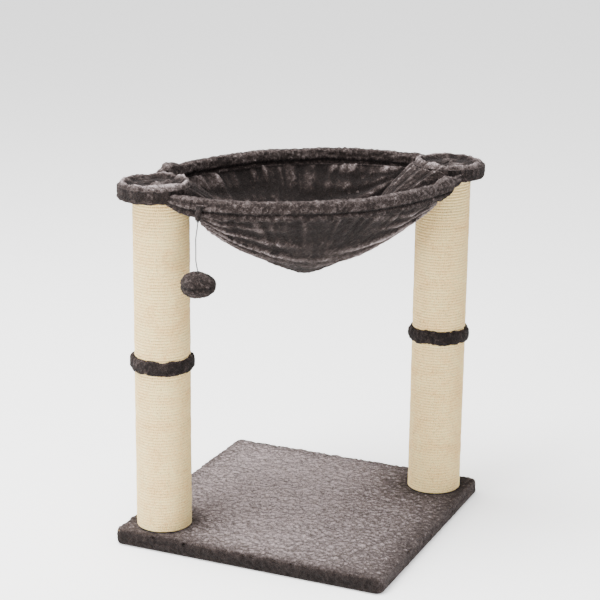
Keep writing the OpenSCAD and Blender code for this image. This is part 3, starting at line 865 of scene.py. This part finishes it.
def make_cap(name, node, end, materials, seed):
    """A plush-covered round cap: a fat rolled rim round a sunken middle, with creases that
    run from the bolt's dimple to the hammock's neck."""
    low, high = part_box(node)
    height = high.z - low.z
    columns, edge = 300, CAP_EDGE_R
    u = full_turn(columns)[None, :]
    flat = 1 - edge / CAP_R
    profile = [(share, 1.0) for share in np.linspace(0.015, flat, 56)]
    for angle in np.linspace(0, math.pi / 2, 10)[1:]:
        profile.append((flat + (1 - flat) * math.sin(angle), 1 - edge / height * (1 - math.cos(angle))))
    for level in np.linspace(1 - edge / height, 0.24, 9)[1:]:
        profile.append((1.0, level))
    for angle in np.linspace(0, math.pi / 2, 7)[1:]:
        profile.append((1 - 0.10 * (1 - math.cos(angle)), 0.24 * (1 - math.sin(angle))))
    profile += [(share, 0.0) for share in np.linspace(0.88, 0.76, 5)]
    share, level = (np.array(column)[:, None] for column in zip(*profile))
    x, y = CAP_R * share * np.cos(u), CAP_R * share * np.sin(u)
    top = clamp((level - 0.72) / 0.28)
    z = low.z + height * level + 0 * u

    def bump(cx, cy, wide):
        return np.exp(-((x + end * cx)**2 + (y - cy)**2) / wide**2)

    flat_place = np.stack([x, y, 0 * x], -1)
    uneven = noise(flat_place, 0.016, seed + 9)
    hollows = bump(-0.018, 0.004, 0.011) + bump(0.014, 0.016, 0.013) + 0.7 * bump(0.012, -0.014, 0.010)
    rolled = np.exp(-((share - 0.88) / 0.11)**2) * (0.85 + 0.35 * uneven)
    groove = np.exp(-((share - 0.62) / 0.13)**2) * (0.8 + 0.5 * noise(flat_place, 0.03, seed + 3))
    middle = np.exp(-(share / 0.34)**2)
    fan = np.arctan2(y, CAP_FAN + end * x)
    creases = np.sin(fan * 15 + 1.3 * seed + 2.0 * noise(flat_place, 0.02, seed))**3
    wrinkle = noise(np.stack([x * 0.5, y, 0 * x], -1), 0.008, seed + 5)
    spoke_place = np.stack([np.cos(u) * 3.4 + 0 * x, np.sin(u) * 3.4 + 0 * x, share * 0.9 + 0 * x], -1)
    spokes = noise(spoke_place, 1, seed + 4)
    near = clamp((-end * x + 0.02) / 0.06)
    relief = CAP_ROLL * rolled - CAP_GROOVE * groove + CAP_MIDDLE * middle - CAP_HOLLOW * hollows
    relief = relief + CAP_SPOKE * spokes
    z = z + top * (relief + CAP_CREASE * creases * near + CAP_WRINKLE * wrinkle)
    ring = np.stack([np.cos(u) * 2.6 + 0 * z, np.sin(u) * 2.6 + 0 * z, z * 55], -1)
    swell = 1 + (1 - top) * (0.020 * noise(ring, 1, seed + 6) + 0.010 * noise(ring * 2.2, 1, seed + 7))
    points = np.stack([end * CAP_A + x * swell, y * swell, z], -1)
    cap = grid_object(name, to_row(points), materials["plush"])
    # Painted light and shade on the top: paler on the roll, creases, wrinkles and spokes, painted shade in
    # the groove and the hollows.
    shade = 0.12 * rolled - 0.34 * groove - 0.34 * hollows + 0.20 * creases * near + 0.16 * wrinkle
    shade = top * (shade + 0.22 * spokes)
    plush_surface(cap, 0.0009, 0.0038, tone=0.16, painted_top_light=0.24, extra=np.append(shade.ravel(), [0, 0]),
                  seed=seed + 8, rounds=22, relief=0.0014)
    disc_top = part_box(node.replace("cover", "upper_disc"))[1].z
    p = read_points(cap)
    p[:, 2] = np.where((p[:, 2] > ROD_Z) & (p[:, 2] < disc_top + 0.0006), disc_top + 0.0006, p[:, 2])
    cap.data.vertices.foreach_set("co", p.ravel())
    cap.data.update()
    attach(cap, "tree")
    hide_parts(node)


# ---- Hammock ----

SLEEVE_START = math.radians(58.6)  # where the sleeves' padded stretch starts on the end arc
SLEEVE_TUCK = math.radians(30.0)  # where a sleeve that is tucked into its cap starts
LIP = 0.62  # the lip's thickness, as a share of the tube's above it
SEAM_Z = -0.0078  # the seam between the two, from the rod
SWELL_RUN = 0.034  # how long a tucked end takes to swell
KNOB_RUN, KNOB_SWELL, KNOB_WAIST = 0.011, 0.42, 0.16  # and the round knob at the other end


def sleeve_section(columns):
    """Outline of the sleeve round the rod: a padded tube above, a seam, and a soft lip below.
    Its second outline is that of the fabric drawn in close round the rod."""
    v = full_turn(columns)
    up = np.sign(np.sin(v)) * np.abs(np.sin(v))**0.85
    high = SLEEVE_TOP + 0.0012
    low = SLEEVE_BOTTOM - 0.0022
    level = (high + low) / 2 + (high - low) / 2 * up
    side = np.sign(np.cos(v)) * np.abs(np.cos(v))**0.75
    pinch = np.exp(-((level - SEAM_Z) / 0.0016)**2)
    lip = LIP + 0.25 * clamp((SEAM_Z - level) / 0.006)
    width = SLEEVE_T / 2 * np.where(level > SEAM_Z, 1.10, lip)
    full = (side * width * (1 - 0.34 * pinch), level)
    drawn_in = (0.0056 * np.cos(v), 0.0062 * np.sin(v) - 0.0008)
    return full, drawn_in, pinch


def make_sleeve(name, node, side, tucks, materials, seed):
    """The plush sleeve of one half of the rim, from cap to cap. Next to a cap it is drawn in
    close round the rod. From there it swells slowly at a tucked end, or all at once into a fat
    round knob. Tucks are for the right and the left end."""
    rows, columns = 500, 60
    line, outward, run = sleeve_line([SLEEVE_TUCK, SLEEVE_TUCK], rows)
    (out, level), (out_in, level_in), pinch = sleeve_section(columns)
    run = run[:, None]
    total = run[-1, 0]
    along = np.concatenate([run, 0 * run, 0 * run], 1)
    fat = 1 + 0.08 * noise(along, 0.045, seed)[:, None] + 0.05 * noise(along, 0.014, seed + 1)[:, None]
    lower = clamp((SEAM_Z - level) / 0.009)[None, :]
    scallop = (noise(along, 0.011, seed + 2) + 0.6 * noise(along, 0.006, seed + 3))[:, None] * lower
    v = full_turn(columns)[None, :]
    full, bulge, pleats = 1.0, 1.0, 0.0
    knob_start = (SLEEVE_START - SLEEVE_TUCK) * HOOP_END_R
    for distance, tuck in ((run, tucks[0]), (total - run, tucks[1])):
        if tuck:
            grow = clamp(distance / SWELL_RUN)
            full = full * (0.30 + 0.70 * grow * grow * (3 - 2 * grow))
        else:
            past = distance - knob_start
            full = full * np.sqrt(clamp(1 - (1 - clamp(past / KNOB_RUN))**2))
            bulge = bulge * (1 + KNOB_SWELL * np.exp(-((past - 0.008) / 0.018)**2)
                             - KNOB_WAIST * np.exp(-((past - 0.036) / 0.007)**2))
        fade = np.exp(-distance / 0.055)
        pleats = pleats + fade * np.sin(7 * v + 5 * noise(along, 0.05, seed + 4)[:, None] + seed)**3
    width = (out_in + (out - out_in) * full) * fat * bulge * (1 + 0.30 * scallop * full)
    tall = level_in + (level - level_in) * full
    tall = np.where(tall > 0, tall * (1 + 1.8 * (bulge - 1)), tall * (1 - 0.45 * (bulge - 1)))
    tall = tall + (0.0022 * scallop + 0.0008 * noise(along, 0.05, seed + 5)[:, None]) * full
    width = width + 0.0014 * pleats * np.sign(out)[None, :]
    points = np.stack([line[:, None, 0] + outward[:, None, 0] * width,
                       side * (line[:, None, 1] + outward[:, None, 1] * width), tall], -1)
    if side < 0:
        points = points[:, ::-1]
        pinch = pinch[::-1]
    sleeve = grid_object(name, to_row(tilt(points)), materials["plush"])
    # Painted shade along the seam's pinch.
    seam = np.append((pinch[None, :] * full).ravel(), [0, 0])
    plush_surface(sleeve, 0.0009, 0.0036, tone=0.27, painted_top_light=0.15, extra=-0.08 * seam, seed=seed + 6,
                  rounds=18, relief=0.0017)
    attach(sleeve, "tree")
    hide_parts(node)


def distance_run(line):
    """How far along a line of points each of them lies."""
    return np.concatenate([[0], np.cumsum(np.linalg.norm(np.diff(line, axis=0), axis=1))])


def sleeve_line(begin, count):
    """The oval's half from the angle begin[0] on its right end to begin[1] on its left end:
    points, outward directions and the distance run."""
    line, outward = oval_outline(min(begin), 4 * count)
    length = distance_run(line)
    skip = [(angle - min(begin)) * HOOP_END_R for angle in begin]
    run = np.linspace(skip[0], length[-1] - skip[1], count)
    line = np.column_stack([np.interp(run, length, line[:, k]) for k in (0, 1)])
    outward = np.column_stack([np.interp(run, length, outward[:, k]) for k in (0, 1)])
    return line, outward, run - run[0]


# ---- The bowl's fabric ----

NECK_HALF = math.radians(72)  # how far round its cap the neck's edge goes, each way
NECK_Z = 0.0045  # the neck's edge above the rod, in its middle
SIDE_LINE, NECK_LINE = 0.60, 1.00  # shares of the depth that fall in a straight line
TAUT, SLACK = math.radians(10), math.radians(30)
LIFT_END, LIFT_RUN = 0.066, 0.030  # the neck's lift fades out here, over this stretch
TIP = 0.06  # how soft the bowl's tip is
BOWL_T = 0.0022
FOLD_H, PLEAT_H, WOBBLE_H, GATHER_H = 0.0095, 0.0040, 0.0022, 0.0022
GATHER_X, GATHER_Y = 0.196, 0.060  # where the folds start, near a sleeve's end
# Each fold's direction and width in degrees, and its share of the height
FOLDS = ((-7, 2.4, 0.7), (-1, 2.2, 0.9), (5, 2.2, 1.0), (12, 2.6, 0.9), (19, 2.8, 1.0),
         (27, 3.0, 0.8), (36, 3.0, 0.6))


def bowl_boundary(count):
    """The fabric's edge, anticlockwise from the right neck: under each sleeve's lip, and up
    round the inner side of each cap. Returns points and how much of a neck each is."""
    arc = np.linspace(0, NECK_HALF, 60)
    neck_x, neck_y = CAP_A - (CAP_R - 0.001) * np.cos(arc), (CAP_R - 0.001) * np.sin(arc)
    line, outward = oval_outline(SLEEVE_START, 400)
    rim = line - 0.003 * outward
    back = np.vstack([np.column_stack([neck_x, neck_y]), rim, np.column_stack([-neck_x, neck_y])[::-1]])
    neck = np.concatenate([np.ones(60), np.zeros(400), np.ones(60)])
    closed = np.vstack([back, back[::-1][1:-1] * (1, -1), back[:1]])
    neck = np.concatenate([neck, neck[::-1][1:-1], neck[:1]])
    run = distance_run(closed)
    at = np.linspace(0, run[-1], count, endpoint=False)
    return np.column_stack([np.interp(at, run, closed[:, k]) for k in (0, 1)]), np.interp(at, run, neck)


def neck_fan(x, y, sx, sy, seed):
    """Folds that fan out from one end of a sleeve, where the fabric is gathered."""
    nx, ny = sx * GATHER_X, sy * GATHER_Y
    dx, dy = x - nx, y - ny
    distance = np.hypot(dx, dy)
    angle = np.arctan2(dy, dx) - math.atan2(-ny, -nx)
    angle = np.degrees(np.arctan2(np.sin(angle), np.cos(angle))) * -sx * sy
    height = 0
    for k, (place, width, deep) in enumerate(FOLDS):
        bend = 2.2 * math.sin(5.1 * k + seed) * distance / 0.1
        crest = 1 / (1 + ((angle - place - bend - math.sin(2.3 * k + seed)) / width)**2)
        reach = 0.120 + 0.045 * math.sin(1.7 * k + 2 * seed)
        height = height + deep * crest * np.exp(-((distance - 0.060) / reach)**2)
    return height * clamp(distance / 0.030)**1.5


def make_bowl(materials):
    """The fabric bowl: gathered at both necks, with folds that fan out from the sleeves' ends,
    short pleats under the rim, and a soft tip."""
    around, rings = 640, 66
    edge, neck = bowl_boundary(around)
    bx, by, neck = edge[:, 0][None, :], edge[:, 1][None, :], neck[None, :]
    share = (np.linspace(0.012, 1, rings)**0.9)[:, None]
    off = np.arctan2(np.abs(by), np.abs(bx))
    lift = clamp((LIFT_END - np.abs(by)) / LIFT_RUN)
    lift = lift * lift * (3 - 2 * lift) * (np.abs(bx) > 0.1)
    hung = ROD_Z + by * math.sin(HOOP_TILT) + SLEEVE_BOTTOM + 0.002
    top = hung + (ROD_Z + NECK_Z - hung) * lift
    low = BOWL_LOW.z + 0.0005
    taut = clamp((SLACK - off) / (SLACK - TAUT))
    line = SIDE_LINE + (NECK_LINE - SIDE_LINE) * taut * taut * (3 - 2 * taut)
    soft = (np.sqrt(share**2 + TIP**2) - TIP) / (math.sqrt(1 + TIP**2) - TIP)
    z = low + (top - low) * (line * soft + (1 - line) * soft**2)
    x, y = bx * share, by * share
    t = np.arctan2(by, bx)
    folds = sum(neck_fan(x, y, sx, sy, 1.9 * sx + 0.7 * sy) for sx in (-1, 1) for sy in (-1, 1))
    ring = np.stack([np.cos(t) + 0 * share, np.sin(t) + 0 * share, share + 0 * t], -1)
    wobble = noise(ring * (2.4, 2.4, 1.4), 1, 61)
    pleats = noise(ring * (11, 11, 1.2), 1, 62) + 0.6 * noise(ring * (21, 21, 2), 1, 64)
    under = np.exp(-(1 - share) / 0.22) * (1 - np.exp(-(1 - share) / 0.02)) * (1 - lift)
    gathers = np.sin(13 * np.arctan2(by, CAP_A - np.abs(bx)) + 3 * np.sign(bx))**3 * lift
    gathers = gathers * clamp((share - 0.45) / 0.4)
    push = FOLD_H * (folds - 0.5) * clamp(share * 2.2) * (1 - 0.8 * share**10)
    push = push + WOBBLE_H * wobble * share * (1 - share**6) + PLEAT_H * pleats * under
    push = push + GATHER_H * gathers
    slope = math.sqrt(2)
    outer = np.stack([x + np.cos(t) * push / slope, y + np.sin(t) * push / slope, z - push / slope], -1)
    inner = outer + np.stack([0 * x, 0 * x, BOWL_T + 0 * x], -1)
    inner[-1] = outer[-1] + np.stack([-np.cos(t[0]) * 0.002, -np.sin(t[0]) * 0.002, 0.0012 + 0 * t[0]], -1)
    bowl = grid_object("bowl_fabric", to_row(np.vstack([outer, inner[::-1]])), materials["plush"])
    # Painted shade: darker at the tip and at the necks, and a little more over the whole inner face.
    dark = 0.10 * np.exp(-(share / 0.10)**2) + 0.16 * lift
    dark = np.append(np.vstack([dark, dark[::-1] + 0.06]).ravel(), [0.1, 0.1])
    # Painted light and shade on the folds and pleats, twice as strong on the right post's side; the inner
    # face takes the opposite.
    painted_fold_light = (folds - 0.4) * np.where(x > 0, 2.0, 1.0) + 0.8 * pleats * under
    crest = np.append(np.vstack([painted_fold_light, -painted_fold_light[::-1]]).ravel(), [0, 0])
    plush_surface(bowl, 0.0007, 0.0036, tone=0.16, painted_top_light=0.06, extra=0.34 * crest - dark, seed=65,
                  rounds=16, relief=0.0012)
    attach(bowl, "tree")
    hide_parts("hammock_bowl")
    return bowl


# ---- Floor and light ----

FLOOR_Z = -0.0004  # just under the base, so that the two surfaces never coincide
FLOOR_REACH, FLOOR_GLOW = 12, 0.6
WORLD_STRENGTH = 1.25
# Each light's name, place, aim, width and power
LIGHTS = (("overhead", (-0.6, -0.5, 2.6), (0, 0, 0.2), 2.0, 200),
          ("front", (-1.0, -2.7, 1.1), (0, 0, 0.3), 1.3, 85))


def make_floor():
    """A wide pale floor that melts into the backdrop."""
    mesh = bpy.data.meshes.new("floor")
    size = FLOOR_REACH
    mesh.from_pydata([(-size, -size, FLOOR_Z), (size, -size, FLOOR_Z), (size, size, FLOOR_Z),
                      (-size, size, FLOOR_Z)], [], [(0, 1, 2, 3)])
    floor = bpy.data.objects.new("floor", mesh)
    n = Nodes("pale_floor")
    n.shade(Base_Color=(0.97, 0.97, 0.97, 1), Roughness=0.9, Specular_IOR_Level=0.1,
            Emission_Color=(1, 1, 1, 1), Emission_Strength=FLOOR_GLOW)
    mesh.materials.append(n.material)
    bpy.context.scene.collection.objects.link(floor)


def area_light(name, place, aim, size, power):
    """A round soft light at a place, aimed at a point."""
    light = bpy.data.lights.new(name, "AREA")
    light.shape = "DISK"
    light.size = size
    light.energy = power
    obj = bpy.data.objects.new(name, light)
    obj.location = place
    obj.rotation_euler = (Vector(aim) - Vector(place)).to_track_quat("-Z", "Y").to_euler()
    bpy.context.scene.collection.objects.link(obj)


def make_lights():
    """A white surround and the studio lights."""
    world = bpy.data.worlds.new("studio")
    world.use_nodes = True
    background = world.node_tree.nodes["Background"]
    background.inputs["Color"].default_value = (1, 1, 1, 1)
    background.inputs["Strength"].default_value = WORLD_STRENGTH
    bpy.context.scene.world = world
    for light in LIGHTS:
        area_light(*light)


# ---- Everything ----

make_camera()
MATERIALS = make_materials()
paint_hidden(MATERIALS)
make_toy(MATERIALS)
make_base_cover(MATERIALS)
for number, (where, end) in enumerate((("left", -1), ("right", 1))):
    for half in ("lower", "upper"):
        make_rope(f"{half}_sisal_{where}", f"{half}_rope_{where}", 1.3 * number + (half == "upper"),
                  MATERIALS, 70 + 10 * number + 5 * (half == "upper"))
    make_band(f"band_plush_{where}", f"post_band_{where}", MATERIALS, 90 + 10 * number)
    make_cap(f"cap_plush_{where}", f"cap_cover_{where}", end, MATERIALS, 110 + 10 * number)
make_sleeve("sleeve_front", "rim_sleeve_front", -1, (False, True), MATERIALS, 130)
make_sleeve("sleeve_back", "rim_sleeve_back", 1, (True, False), MATERIALS, 140)
make_bowl(MATERIALS)
make_floor()
make_lights()
